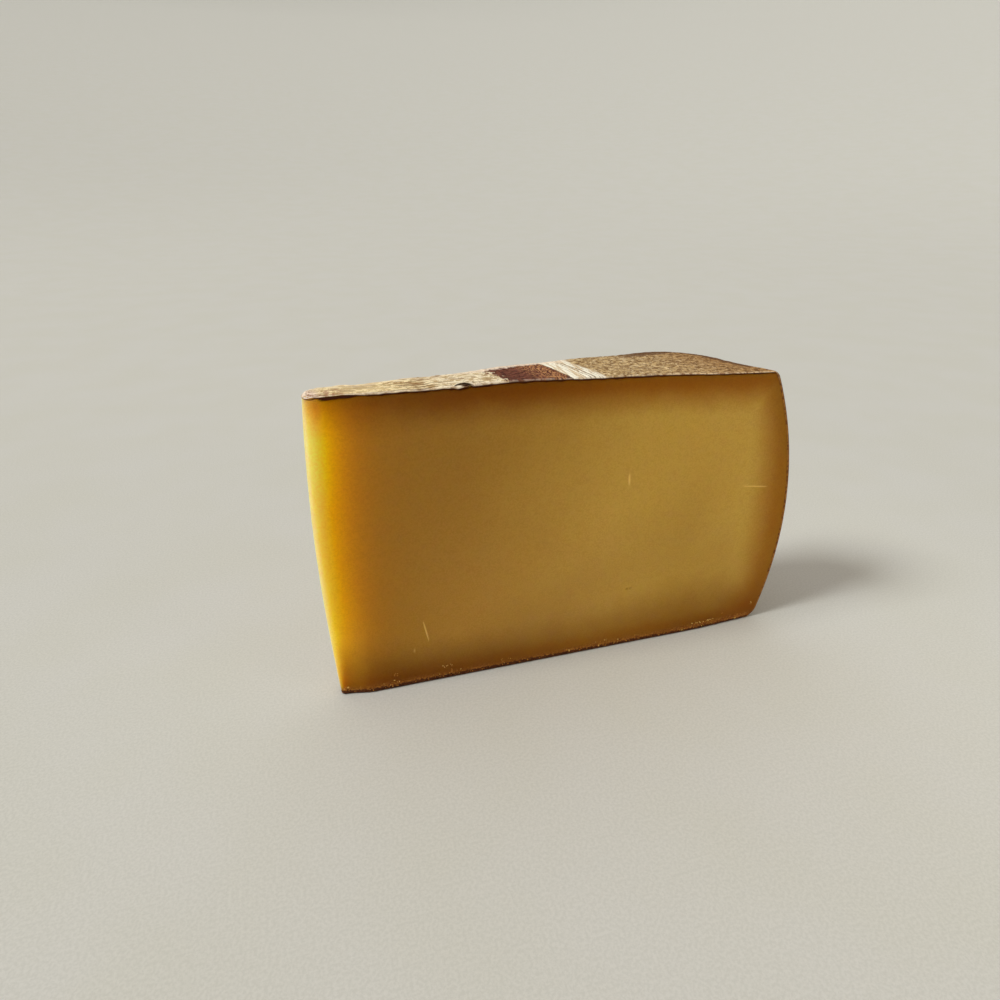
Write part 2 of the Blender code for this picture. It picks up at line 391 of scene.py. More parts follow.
def hollow_depth(x, y):
    """The hollow under the lifted flake: a bell over the top, sunk by its depth."""
    spot = ((x - HOLLOW_PLACE[0]) / HOLLOW_SPREAD[0]) ** 2 + ((y - HOLLOW_PLACE[1]) / HOLLOW_SPREAD[1]) ** 2
    return HOLLOW_DEPTH * np.exp(-(spot**1.5))


def crevice_height(x, y):
    """Height of the dark crevice under the top rind: widest near the left end, then a fine uneven line."""
    wide = 0.66 * ramp(x, 1.8, 2.5) * (1.0 - ramp(x, 9.5, 4.0))
    fine = 0.46 + 0.16 * layered_ripple(x / 1.9, y / 3.0, 31)
    return (wide + fine) * ramp(x, 0.6, 2.6) * (1.0 - 0.25 * ramp(x, 80.0, 40.0))


print("top rind at 20, 60 and 120 mm:", top_rind_depth(np.array([20.0, 60.0, 120.0]), 0.0).round(2), "mm")

# %% [markdown]
# The paste
#
# Real paste is dense, smooth and golden, darker in a band under the rind, where it has dried. The knife left
# faint undulations, a few scratches that show pale where the fat has dulled, and pits. A flat box with
# a bump map would miss the soft edges and the marks' shadows, so the paste is the skin of one lattice, with
# extra grid lines where the marks are, moved along its normals by a relief.

# %% Marks on the front cut
# Each scratch: start and end (x, z), half width, depth, burr height, paleness
SCRATCHES = (
    ((95.15, 66.6), (95.45, 62.4), 0.19, 0.12, 0.05, 1.0),
    ((138.6, 56.5), (148.4, 55.1), 0.13, 0.06, 0.04, 0.75),
    ((26.5, 23.8), (27.9, 16.4), 0.11, 0.08, 0.05, 0.95),
    ((23.0, 13.2), (23.6, 14.2), 0.16, 0.06, 0.04, 0.5),
    ((107.2, 46.2), (107.5, 44.6), 0.16, 0.05, 0.03, 0.35),
)
# Each pit: place (x, z), radius, depth
PITS = (
    ((98.0, 22.9), 0.42, 0.30),
    ((99.2, 23.0), 0.36, 0.25),
    ((131.2, 17.6), 0.8, 0.06),
    ((60.5, 34.0), 0.35, 0.10),
    ((112.4, 71.5), 0.3, 0.09),
)
DARKEST_PIT = 0.3


def line_distance(x, z, start, end):
    """From a straight mark: the distance, the signed distance to its side, and the share of its length."""
    dx, dz = end[0] - start[0], end[1] - start[1]
    length = np.hypot(dx, dz)
    share = np.clip(((x - start[0]) * dx + (z - start[1]) * dz) / length**2, 0.0, 1.0)
    aside = ((x - start[0]) * dz - (z - start[1]) * dx) / length
    return np.hypot(x - start[0] - share * dx, z - start[1] - share * dz), aside, share


def front_marks(x, z):
    """Relief and tones of the marks: a scratch is a bell along a line with a left burr, a pit a bell, darkened
    by its depth as painted shade.
    """
    relief, pale, dark = np.zeros_like(x), np.zeros_like(x), np.zeros_like(x)
    for start, end, width, depth, burr, paleness in SCRATCHES:
        distance, aside, share = line_distance(x, z, start, end)
        taper = np.sqrt(np.clip(4.0 * share * (1.0 - share), 0.0, 1.0)) * 0.8 + 0.2
        groove = bell(distance, width) * taper
        ridge = bell(distance - 1.7 * width, width) * (aside < 0.0) * taper
        relief += burr * ridge - depth * groove
        pale = np.maximum(pale, paleness * (groove + 0.5 * ridge))
    for place, radius, depth in PITS:
        pit = np.exp(-(((x - place[0]) ** 2 + (z - place[1]) ** 2) / radius**2))
        relief -= depth * pit
        dark = np.maximum(dark, pit * depth / DARKEST_PIT)
    return relief, np.clip(pale, 0.0, 1.0), np.clip(dark, 0.0, 1.0)


print(len(SCRATCHES), "scratches and", len(PITS), "pits")


# %% Lattice of the paste
def share_along(x, z):
    """The share along the slab at which the front cut passes x, at height z."""
    return (x - end_x(0.0, z)) / (heel_x(0.0, z) - end_x(0.0, z))


def spots_on(length, spots):
    """Spots whose reach and step are in mm, as shares of a length."""
    return [(place, reach / length, step / length) for place, reach, step in spots]


# Where grid lines crowd together: the place as a share, and the reach and the step in mm
ALONG_SPOTS = (
    (0.0, 4.5, 0.36),
    (share_along(95.3, 64.5), 0.7, 0.10),
    (share_along(27.2, 20.1), 1.3, 0.08),
    (share_along(23.3, 13.7), 0.6, 0.14),
    (share_along(98.6, 22.9), 1.2, 0.20),
    (share_along(43.5, 99.0), 3.0, 0.40),
    (1.0, 3.0, 0.45),
)
UP_SPOTS = ((0.0, 3.4, 0.30), (55.75 / 97.3, 1.2, 0.11), (22.9 / 98.8, 0.8, 0.22), (1.0, 2.8, 0.14))
THROUGH_SPOTS = ((0.0, 0.05, 0.02), (1.0, 0.05, 0.02))

shares_along = spread_stations(0.0, 1.0, 1.0 / LENGTH, spots_on(LENGTH, ALONG_SPOTS))
shares_up = spread_stations(0.0, 1.0, 1.15 / TOP_HEIGHT, spots_on(TOP_HEIGHT, UP_SPOTS))
shares_through = spread_stations(0.0, 1.0, 1.0 / 20.0, THROUGH_SPOTS)
paste_grid, paste_quads = box_lattice((len(shares_along), len(shares_through), len(shares_up)))
paste_u, paste_v = shares_along[paste_grid[:, 0]], shares_through[paste_grid[:, 1]]
paste_w = shares_up[paste_grid[:, 2]]
print("paste lattice:", len(shares_along), "x", len(shares_through), "x", len(shares_up))

# %% Relief of the paste
PASTE_PEEL, PASTE_PEEL_INSIDE, PEEL_RUN = 0.5, 1.3, 2.5
CREVICE_DEPTH, CREVICE_ON_BACK, KNIFE_ON_END = 0.34, 0.6, 0.7
FOOT_START, FOOT_BAND, FOOT_ROUGHNESS, FOOT_SINK, STILL_FOOT = 1.2, 2.6, 0.10, 0.04, 0.8
# Each layer of the knife's waves: height, and length along and up the cut
KNIFE_WAVES = ((0.07, 19.0, 26.0), (0.03, 6.0, 11.0), (0.012, 1.7, 4.5))
# How wide the dry bands are: a share at places along the base, and at heights along the heel
BASE_BAND_AT, BASE_BAND_SHARE = (0.0, 30.0, 60.0, 115.0), (0.60, 0.80, 0.82, 0.56)
HEEL_BAND_AT, HEEL_BAND_SHARE = (20.0, 55.0, 70.0, 92.0), (0.84, 0.92, 1.06, 1.22)


def knife_relief(along, up, seed):
    """What the wire left on a cut: a sum of ripples, from long low undulations to fine ones across its way."""
    waves = enumerate(KNIFE_WAVES)
    return sum(size * ripple(along / length, up / rise, seed + n) for n, (size, length, rise) in waves)


def paste_surface(points, normals):
    """Moves the paste along its normals by the knife's relief, the marks, the crevice and the foot, and
    works out the fields that its finish reads. A side's share is the square of the normal's part that way."""
    x, y, z = points.T
    facing_front, facing_back, facing_end = [
        np.clip(part, 0.0, 1.0) ** 2 for part in (-normals[:, 1], normals[:, 1], -normals[:, 0])
    ]
    on_cut = np.clip(facing_front + facing_back + facing_end, 0.0, 1.0)

    below_top = top_height(x, y) - z
    rind_depth = top_rind_depth(x, y)
    crevice_end = rind_depth + crevice_height(x, y)
    in_crevice = ramp(below_top - rind_depth, -0.25, 0.2) * (1.0 - soft_step((below_top - crevice_end) / 0.2))
    in_crevice = in_crevice * on_cut * np.where(y < 0.5 * back_y(x), 1.0, CREVICE_ON_BACK)

    mark_relief, mark_pale, pit_shade = front_marks(x, z)
    relief = knife_relief(x, z, 1) * facing_front + knife_relief(x, z, 5) * facing_back
    relief += knife_relief(y, z, 9) * facing_end * KNIFE_ON_END
    relief += mark_relief * facing_front
    relief -= CREVICE_DEPTH * in_crevice
    foot = (1.0 - ramp(z, FOOT_START, FOOT_BAND)) * on_cut
    relief += foot * (FOOT_ROUGHNESS * layered_ripple(x / 1.3, z / 0.9 + y / 1.3, 41) - FOOT_SINK)
    relief *= soft_step(z / STILL_FOOT)

    to_heel = np.maximum(heel_x(y, z) - x - 0.8 * BACK_RIGHT * facing_back, 0.0)
    fields = {
        "height": z,
        "from_skin": np.minimum(below_top, np.interp(x, BASE_BAND_AT, BASE_BAND_SHARE) * z),
        "from_heel": to_heel * np.interp(z, HEEL_BAND_AT, HEEL_BAND_SHARE),
        "from_end": x - end_x(y, z),
        "crevice": in_crevice,
        "scuff": mark_pale * facing_front,
        "pit": pit_shade * facing_front,
        "foot": foot,
        "end_side": facing_end,
        "back_side": facing_back,
    }
    return points + normals * relief[:, None], fields


paste_thickness = back_y(END_REACH + LENGTH * paste_u)
from_cuts = np.minimum(np.minimum(paste_v, 1.0 - paste_v) * paste_thickness, paste_u * LENGTH)
paste_peel = PASTE_PEEL + (PASTE_PEEL_INSIDE - PASTE_PEEL) * soft_step(from_cuts / PEEL_RUN)
flat_points = slab_points(paste_u, paste_v, paste_w, paste_peel)
flat_points[:, 2] -= 1.1 * hollow_depth(flat_points[:, 0], flat_points[:, 1]) * ramp(paste_w, 0.98, 0.02)
paste_normals = point_normals(flat_points, paste_quads)
paste_points, paste_fields = paste_surface(flat_points, paste_normals)
paste = add_piece("paste", paste_points, paste_quads, "paste", **paste_fields)
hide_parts("cheese")

# %% [markdown]
# The rind
#
# The rind grew on the wheel's outside: pressed in cloth, then rubbed for a year. Its top is fibrous, with
# flowing grooves at the left and a finer grain towards the heel. It runs as one band over the top, round the
# heel and under the base. So its lattice has three ways: along that path, across the slab, and through the
# rind's depth. The depth levels draw the cut edge: flush under the paste, a square lip, and a rounded edge.

# %% Path and lattice of the rind
TOP_RUN, HEEL_RUN, BASE_RUN = 145.0, 100.0, 150.0

top_stations = spread_stations(0.0, TOP_RUN, 0.43, ((0.0, 2.5, 0.22), (45.5, 4.5, 0.24), (TOP_RUN, 2.0, 0.3)))
heel_stations = spread_stations(0.0, HEEL_RUN, 0.85, ((0.0, 2.6, 0.22), (HEEL_RUN, 3.4, 0.35)))
base_stations = spread_stations(0.0, BASE_RUN, 1.7, ((0.0, 1.5, 0.6), (BASE_RUN, 1.5, 0.4)))
heel_stations = heel_stations[1:-1]
path_u = np.concatenate([top_stations / TOP_RUN, np.ones(len(heel_stations)), 1.0 - base_stations / BASE_RUN])
path_w = np.concatenate(
    [np.ones(len(top_stations)), 1.0 - heel_stations / HEEL_RUN, np.zeros(len(base_stations))]
)
path_run = np.concatenate([top_stations, TOP_RUN + heel_stations, TOP_RUN + HEEL_RUN + base_stations])
shares_across = spread_stations(0.0, 1.0, 1.0 / 46.0, ((0.0, 0.03, 0.0045), (1.0, 0.03, 0.0045)))

# Levels from inside to outside: share of the visible thickness, mm added to it, the shares of the proud
# lip, of the undercut and of the outside's relief at that level, and its share of painted shade for lying
# beneath
LEVELS = (
    (1.0, 0.60, 0.0, 1.0, 0.0, 1.0),
    (1.0, 0.10, 0.0, 0.8, 0.0, 1.0),
    (1.0, 0.00, 0.7, 0.0, 0.0, 0.75),
    (0.82, 0.00, 1.0, 0.0, 0.15, 0.1),
    (0.5, 0.00, 0.95, 0.0, 0.5, 0.0),
    (0.22, 0.00, 0.75, 0.0, 0.8, 0.0),
    (0.06, 0.00, 0.45, 0.0, 1.0, 0.0),
    (0.0, 0.00, 0.1, 0.0, 1.0, 0.0),
)
level_share, level_extra, level_proud, level_under, level_relief, level_beneath = np.array(LEVELS).T

rind_grid, rind_quads = box_lattice((len(path_u), len(shares_across), len(LEVELS)))
rind_u, rind_w, rind_run = [path[rind_grid[:, 0]] for path in (path_u, path_w, path_run)]
rind_v, rind_level = shares_across[rind_grid[:, 1]], rind_grid[:, 2]
print("rind lattice:", len(path_u), "x", len(shares_across), "x", len(LEVELS))

# %% Form of the rind
HEEL_RIND, BASE_RIND = 0.55, 0.85
BASE_PROUD = 0.03
EDGE_FADE = 1.6


def rind_form():
    """The rind's points before its relief: the slab's form at each level's depth, its edge on the cuts moved
    out by the lip and in by the undercut, fading away from the edge."""
    on_heel = ramp(rind_run - TOP_RUN, -2.0, 6.0)
    on_base = ramp(rind_run - TOP_RUN - HEEL_RUN, -3.0, 6.0)
    x, y, _ = slab_points(rind_u, rind_v, rind_w, np.zeros(len(rind_u))).T
    border = layered_ripple(rind_run / 2.9, rind_v * 9.0, 25)
    thickness = top_rind_depth(x, y) * (1.0 - on_heel)
    thickness += (HEEL_RIND * (1.0 - on_base) + BASE_RIND * on_base) * on_heel * (1.0 + 0.22 * border)
    depth = thickness * level_share[rind_level] + level_extra[rind_level]
    x, y, z = slab_points(rind_u, rind_v, rind_w, depth).T

    lip = LIP_REACH * (0.4 + 0.6 * ramp(x, 0.5, LIP_START)) * (1.0 - 0.35 * ramp(x, 52.0, 30.0))
    lip *= 1.0 + 0.42 * layered_ripple(rind_run / 1.9, rind_v * 5.0, 27)
    lump = 0.28 * bell(x - LUMP_PLACE, 0.9) - 0.5 * bell(x - NOTCH_PLACE, 0.6)
    proud = EDGE_PROUD + (lip + lump * (rind_v < 0.5)) * (1.0 - on_heel) + 0.02 * border * on_heel
    proud = np.where(on_base > 0.5, BASE_PROUD, proud)
    push = proud * level_proud[rind_level] - UNDERCUT * level_under[rind_level]

    thick = back_y(x) - front_y(x, z)
    to_front, to_back = rind_v * thick, (1.0 - rind_v) * thick
    y_push = push * (1.0 - soft_step(to_front / EDGE_FADE)) - push * (1.0 - soft_step(to_back / EDGE_FADE))
    x_push = push * (1.0 - soft_step(rind_u * LENGTH / EDGE_FADE))
    return np.column_stack([x - x_push, y - y_push, z]), on_heel, on_base


rind_base_points, rind_on_heel, rind_on_base = rind_form()
print("before its relief the rind spans", np.ptp(rind_base_points, axis=0).round(2), "mm")

# %% [markdown]
# Grain of the rind
#
# At the left the cloth's folds left grooves, 1.7 mm apart, that bend and fade. From the brown band on the
# grain is finer. A groove is where a slowly bent count of lines is whole: the distance to it, through a
# bell, is the groove's depth. The heel is rubbed rough instead, with small pocks.

# %% Relief of the rind
STRIPE_DRIFT = 0.26
BROWN_FROM, BROWN_TO, CREAM_TO = 54.2, 74.2, 84.7
COARSE_SPACING, COARSE_WIDTH, COARSE_DEPTH = 1.7, 0.17, 0.32
FINE_SPACING, FINE_WIDTH, FINE_DEPTH = 1.15, 0.22, 0.09
RUBBED_HEIGHT, POCK_DEPTH, CRACK_DEPTH, RUBBED_SINK = 0.16, 0.18, 0.16, 0.2


def groove_lines(count, width):
    """1 in the middle of each groove, where the count is a whole number, falling off as a bell."""
    return bell(count - np.round(count), width)


def flowing_grooves(x, y):
    """Coarse grooves along x, bent by two sizes of ripple and fading in and out."""
    count = y / COARSE_SPACING + ripple(x / 17.0, y / 8.0, 3) + 0.38 * ripple(x / 5.2, y / 3.0, 4)
    strength = 0.35 + 0.65 * soft_step(1.4 * ripple(x / 8.0, y / 1.7, 5) + 0.7)
    return groove_lines(count, COARSE_WIDTH) * strength


def fine_grooves(x, y):
    """Fine grooves along x, shorter and more broken."""
    count = y / FINE_SPACING + 0.7 * ripple(x / 13.0, y / 6.0, 13) + 0.45 * ripple(x / 2.8, y / 2.2, 14)
    strength = soft_step(1.6 * ripple(x / 3.2, y / 1.1, 15) + 0.5)
    return groove_lines(count, FINE_WIDTH) * strength


def top_relief(x, y, strip):
    """Heights over the top, and where grooves are dark: folds and coarse grooves at the left, fine ones past
    the brown band's start, and a groove along its end."""
    left = 1.0 - ramp(strip - BROWN_FROM, -3.0, 6.0)
    coarse, fine = flowing_grooves(x, y), fine_grooves(x, y)
    folds = 0.21 * layered_ripple(x / 3.3, y / 1.35, 6) + 0.12 * ripple(x / 11.0, y / 4.0, 7) - 0.10
    heights = left * (folds - COARSE_DEPTH * coarse)
    heights += (1.0 - left) * (0.07 * layered_ripple(x / 1.7, y, 16) - FINE_DEPTH * fine - 0.03)
    heights -= 0.12 * bell(strip - BROWN_TO - 0.15, 0.3)
    return heights, left * coarse + (1.0 - left) * fine * 0.7


def rubbed_relief(run, y):
    """Heights over the heel and the base: a rough skin with pocks, never above the slab's own outline."""
    rough = RUBBED_HEIGHT * layered_ripple(run / 3.1, y / 3.4, 51, 4)
    pocks = ramp(ripple(run / 1.7, y / 1.9, 57), 0.35, 0.4)
    cracks = bell(ripple(run / 4.6, y / 9.0, 59), 0.06) * soft_step(ripple(run / 7.0, y / 6.0, 60) + 0.3)
    rough = rough - POCK_DEPTH * pocks - CRACK_DEPTH * cracks - RUBBED_SINK
    return rough, np.clip(0.7 * pocks + cracks, 0.0, 1.0)


def rind_surface(points, normals):
    """Moves the rind along its normals by its relief and works out the fields that its finish reads."""
    x, y, z = points.T
    strip = x + STRIPE_DRIFT * y
    on_top = 1.0 - rind_on_heel
    heights, grooves = top_relief(x, y, strip)
    rubbed, pocks = rubbed_relief(rind_run, y)
    thick = back_y(x) - front_y(x, z)
    from_cut = np.minimum(rind_v, 1.0 - rind_v) * thick
    relief = heights * on_top + rubbed * rind_on_heel * soft_step(from_cut / 2.5)
    relief -= hollow_depth(x, y) * on_top
    relief *= level_relief[rind_level]
    to_back, to_rim = (1.0 - rind_v) * thick, np.maximum(TOP_RUN - rind_run, 0.0)
    fields = {
        "strip": strip,
        "groove": grooves * on_top + pocks * rind_on_heel,
        "on_heel": rind_on_heel,
        "on_base": rind_on_base,
        "cut_edge": np.where(rind_level >= len(LEVELS) - 2, 0.0, 1.0),
        "beneath": level_beneath[rind_level],
        "rise": heights * on_top,
        "to_back": np.where(rind_v > 0.15, np.minimum(to_back, to_rim), to_back),
        "hollow": hollow_depth(x, y) / HOLLOW_DEPTH * on_top,
    }
    moved = points + normals * relief[:, None]
    moved[:, 2] = np.maximum(moved[:, 2], 0.0)
    return moved, fields


rind_normals = point_normals(rind_base_points, rind_quads)
rind_points, rind_fields = rind_surface(rind_base_points, rind_normals)
rind = add_piece("rind", rind_points, rind_quads, "rind", **rind_fields)
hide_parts("cheese")

# %% [markdown]
# The lifted flake
#
# On the front edge a splinter of the top skin has lifted into a low arch over the hollow. It is a thin closed
# sheet: a lattice three points thick, whose front rises as a half sine and whose back is sunk into the rind.

# %% Flake
FLAKE_START, FLAKE_END = (38.9, 100.05), (45.1, 99.5)
FLAKE_FRONT, FLAKE_RISE, FLAKE_WIDTH, FLAKE_THICKNESS = -0.32, 1.12, 2.2, 0.40
FLAKE_SINK = 0.35
FLAKE_COUNTS = (41, 11, 3)

flake_grid, flake_quads = box_lattice(FLAKE_COUNTS)


def flake_form():
    """The arch: its front is a half sine over a line from start to end (x, z), and by a soft step its back
    falls into the top of the rind."""
    along, across, layer = (flake_grid / (np.array(FLAKE_COUNTS) - 1.0)).T
    taper = np.sin(np.pi * np.clip(along, 0.02, 0.98)) ** 0.7
    x = FLAKE_START[0] + (FLAKE_END[0] - FLAKE_START[0]) * along
    y = FLAKE_FRONT + across * FLAKE_WIDTH * (0.3 + 0.7 * taper) + 0.08 * ripple(along * 9.0, across, 71)
    front_z = FLAKE_START[1] + (FLAKE_END[1] - FLAKE_START[1]) * along
    front_z += FLAKE_RISE * np.sin(np.pi * along) ** 0.9
    sink = soft_step(across)
    wrinkle = 0.06 * ripple(x / 0.8, y / 0.5, 72)
    thin = FLAKE_THICKNESS * (0.4 + 0.6 * taper) * (1.0 - 0.3 * (across < 0.1))
    z = front_z * (1.0 - sink) + (top_height(x, y) - FLAKE_SINK) * sink + wrinkle + (layer - 0.5) * thin
    return np.column_stack([x, y, z])


flake_points = flake_form()
flake_strip = flake_points[:, 0] + STRIPE_DRIFT * flake_points[:, 1]
flake = add_piece(
    "flake", flake_points, flake_quads, "rind",
    strip=flake_strip, groove=0.0, on_heel=0.0, on_base=0.0, cut_edge=0.35,
    beneath=flake_grid[:, 2] == 0, rise=0.25, to_back=9.0, hollow=0.0,
)

# %% [markdown]
# Crumbs
#
# Grains of dry paste and rind cling along the front foot, in clusters, and pale ones lie in rows a little
# higher. Each is a small lattice of eight cells blown up to a lumpy ball, and all are one mesh made
# from arrays.

# %% Crumbs
# Each cluster: place along x, spread, count
CRUMB_CLUSTERS = (
    (1.5, 2.5, 14), (10.0, 6.0, 12), (16.3, 1.6, 24), (24.0, 5.0, 18), (33.5, 2.6, 30), (48.0, 9.0, 30),
    (72.0, 9.0, 34), (90.0, 8.0, 34), (108.0, 8.0, 34), (124.0, 5.0, 40), (133.0, 4.0, 50), (143.0, 4.0, 36),
)
# Each row of pale grains: from x, to x, height, count
PALE_ROWS = (
    (-0.9, 1.6, 2.6, 6), (15.7, 17.2, 5.4, 5), (31.4, 35.5, 5.0, 12), (52.0, 58.0, 3.6, 5),
    (86.0, 92.0, 3.2, 5), (125.7, 136.4, 3.0, 18), (138.0, 138.8, 4.6, 4), (150.4, 151.3, 6.1, 4),
)
CRUMB_LEAST_X, CRUMB_MOST_X, CRUMB_LEAST_Y, CRUMB_LEAST_Z = -1.0, 146.0, -1.72, 0.05
CRUMB_SIZE, CRUMB_SIZE_SPREAD = 0.10, 0.15
PALE_SIZE, PALE_SIZE_SPREAD, PALE_TONE = 0.11, 0.06, 0.86
draw = np.random.default_rng(RANDOM_SEED)


def scatter_crumbs():
    """Centres, sizes and tones: a normal spread along x about each cluster and a falling one up, and
    then the pale rows, each even along its run."""
    x = np.concatenate([draw.normal(place, spread, count) for place, spread, count in CRUMB_CLUSTERS])
    x = np.clip(x, CRUMB_LEAST_X, CRUMB_MOST_X)
    z = 0.9 + np.abs(draw.normal(0.0, 1.0, len(x)))
    size = CRUMB_SIZE + CRUMB_SIZE_SPREAD * draw.random(len(x)) ** 2
    tones = draw.random(len(x))
    row_x = np.concatenate([start + (end - start) * draw.random(count) for start, end, _, count in PALE_ROWS])
    row_z = np.concatenate([height + 0.3 * draw.normal(0.0, 1.0, count) for _, _, height, count in PALE_ROWS])
    x, z = np.concatenate([x, row_x]), np.concatenate([z, row_z])
    size = np.concatenate([size, PALE_SIZE + PALE_SIZE_SPREAD * draw.random(len(row_x))])
    tones = np.concatenate([tones, PALE_TONE + (1.0 - PALE_TONE) * draw.random(len(row_x))])
    y = front_y(x, z) - 0.2 * size
    return np.column_stack([x, y, z]), size, tones


crumb_centres, crumb_sizes, crumb_tones = scatter_crumbs()
grain_grid, grain_quads = box_lattice((3, 3, 3))
grain = grain_grid - 1.0
grain = grain / np.linalg.norm(grain, axis=1, keepdims=True)
lumps = 1.0 + 0.5 * (draw.random((len(crumb_sizes), len(grain), 1)) - 0.5)
stretch = 0.7 + 0.9 * draw.random((len(crumb_sizes), 1, 3))
crumb_points = crumb_centres[:, None, :] + crumb_sizes[:, None, None] * grain[None] * lumps * stretch
crumb_points[:, :, 1] = np.maximum(crumb_points[:, :, 1], CRUMB_LEAST_Y)
crumb_points[:, :, 2] = np.maximum(crumb_points[:, :, 2], CRUMB_LEAST_Z)
crumb_offsets = np.arange(len(crumb_sizes))[:, None, None] * len(grain)
crumb_quads = (grain_quads[None] + crumb_offsets).reshape(-1, 4)
crumbs = add_piece("crumbs", crumb_points.reshape(-1, 3), crumb_quads, "paste",
                   tone=np.repeat(crumb_tones, len(grain)))

# %% [markdown]
# Finishes
#
# Colours come from nodes: fields on the points say where stripes, grooves and bands are, and noise on the
# object's own coordinates breaks them up. A finish is built as a painter works, from a ground with layers
# over it, each with its own share. The small toolbox below keeps each finish readable.

# %% Node tools
class Finish:
    """A material being built: each method adds nodes and returns their output."""

    def __init__(self, name):
        self.material = bpy.data.materials.new(name)
        self.material.use_nodes = True
        self.nodes = self.material.node_tree.nodes
        self.links = self.material.node_tree.links
        self.place = self.nodes.new("ShaderNodeTexCoord").outputs["Object"]

    def put(self, socket, value):
        """Links an output to a socket, or sets the socket's own value."""
        if isinstance(value, bpy.types.NodeSocket):
            self.links.new(value, socket)
        else:
            socket.default_value = value

    def finish(self, *pieces, **settings):
        """Sets the shader's inputs, named with _ for a space, and gives the material to pieces."""
        for label, value in settings.items():
            self.put(self.nodes["Principled BSDF"].inputs[label.replace("_", " ")], value)
        for piece in pieces:
            piece.data.materials.append(self.material)
        print(self.material.name, "has", len(self.nodes), "nodes")

    def fields(self, *names):
        """The numbers that a piece carries at its points, one output for each name."""
        found = []
        for name in names:
            node = self.nodes.new("ShaderNodeAttribute")
            node.attribute_name = name
            found.append(node.outputs["Fac"])
        return found

    def math(self, operation, *values):
        """One operation on one to three values."""
        node = self.nodes.new("ShaderNodeMath")
        node.operation = operation
        for socket, value in zip(node.inputs, values):
            self.put(socket, value)
        return node.outputs[0]

    def fold(self, operation, first, *more):
        """Two or more values joined by one operation, from the first on."""
        for value in more:
            first = self.math(operation, first, value)
        return first

    def times(self, *values):
        """The product of all the values."""
        return self.fold("MULTIPLY", *values)

    def plus(self, *values):
        """The sum of all the values."""
        return self.fold("ADD", *values)

    def largest(self, *values):
        """The largest of the values at each place."""
        return self.fold("MAXIMUM", *values)

    def rest(self, share):
        """What a share leaves over: 1 less it."""
        return self.math("SUBTRACT", 1.0, share)

    def swing(self, noise, size):
        """Noise that swings about 0 by a size."""
        return self.times(self.math("SUBTRACT", noise, 0.5), size)

    def between(self, value, low, high, start, end):
        """start below low, end above high, and a smooth change between."""
        node = self.nodes.new("ShaderNodeMapRange")
        node.interpolation_type = "SMOOTHSTEP"
        for socket, part in zip(node.inputs, (value, low, high, start, end)):
            self.put(socket, part)
        return node.outputs[0]

    def rises(self, value, low, high, full=1.0):
        """0 below low and full above high."""
        return self.between(value, low, high, 0.0, full)

    def falls(self, value, low, high, full=1.0):
        """Full below low and 0 above high."""
        return self.between(value, low, high, full, 0.0)

    def noise(self, per_mm, detail=3.0, roughness=0.6, stretch=(1.0, 1.0, 1.0), distortion=0.0):
        """Noise with so many waves a millimetre, stretched by its own scale on each axis."""
        mapping = self.nodes.new("ShaderNodeMapping")
        mapping.inputs["Scale"].default_value = stretch
        self.links.new(self.place, mapping.inputs["Vector"])
        node = self.nodes.new("ShaderNodeTexNoise")
        settings = {"Scale": per_mm / MM, "Detail": detail, "Roughness": roughness, "Distortion": distortion}
        for label, value in settings.items():
            node.inputs[label].default_value = value
        self.links.new(mapping.outputs["Vector"], node.inputs["Vector"])
        return node.outputs["Fac"]

    def blend(self, share, first, second, way="MIX"):
        """A colour mix: first where share is 0 and second where it is 1."""
        node = self.nodes.new("ShaderNodeMix")
        node.data_type = "RGBA"
        node.blend_type = way
        self.put(node.inputs["Factor"], share)
        sockets = [socket for socket in node.inputs if socket.type == "RGBA"]
        for socket, colour in zip(sockets, (first, second)):
            self.put(socket, (*colour, 1.0) if isinstance(colour, tuple) else colour)
        return next(out for out in node.outputs if out.type == "RGBA")

    def layers(self, ground, *layers):
        """Colours laid over a ground, each given as its share and its colour."""
        for share, colour in layers:
            ground = self.blend(share, ground, colour)
        return ground

    def tint(self, share, colour, tone):
        """The colour multiplied by a tone, by a share."""
        return self.blend(share, colour, self.blend(1.0, colour, tone, "MULTIPLY"))

    def bump(self, height, distance_mm, strength, under=None):
        """Normals tilted as if the surface rose by a height, over another bump if there is one."""
        node = self.nodes.new("ShaderNodeBump")
        node.inputs["Strength"].default_value = strength
        node.inputs["Distance"].default_value = distance_mm * MM
        self.links.new(height, node.inputs["Height"])
        if under is not None:
            self.links.new(under, node.inputs["Normal"])
        return node.outputs["Normal"]


# %% [markdown]
# Finish of the paste
#
# Fatty paste lets light in: near the bright end the front cut glows yellow, then orange, because red light
# reaches farther than green, and blue hardly at all. Light scattered under the surface gives a part of
# that. The rest is painted glow: a lift on the colour that fades with distance from the end. Under the
# rind the paste is dry: a band, full for 2.5 mm and gone by 15 mm, multiplies the colour down towards
# brown. Scratches are paler, as dulled fat is.

# %% Colours of the paste
FRONT_LEFT_TONE_AND_SHADE, FRONT_RIGHT_TONE_AND_SHADE = (0.416, 0.212, 0.032), (0.58, 0.347, 0.059)
LIT_END_COLOUR, LIT_END_FOOT_COLOUR, LIT_END_FACE_COLOUR = (0.92, 0.55, 0.31), (0.90, 0.56, 0.10), (0.88, 0.585, 0.19)
# Gain, reach in mm and limits of the glow, for red, green and blue
GLOW = ((1.55, 10.0, 1.0, 2.6), (2.5, 7.2, 1.0, 2.55), (-1.15, 16.0, 0.05, 1.0))
GLOW_POWER = 1.5
BOUNCE_LIGHT_TINT, SHADE_TINT, LEMON_GLOW_TINT = (1.18, 1.22, 1.40), (0.82, 0.77, 0.78), (1.06, 1.20, 1.30)
PALE_TINT, BAND_TINT, BASE_TINT = (1.12, 1.16, 1.30), (0.57, 0.305, 0.02), (0.57, 0.43, 0.24)
FOOT_TINT, CORNER_TINT = (0.53, 0.32, 0.12), (0.74, 0.64, 0.45)
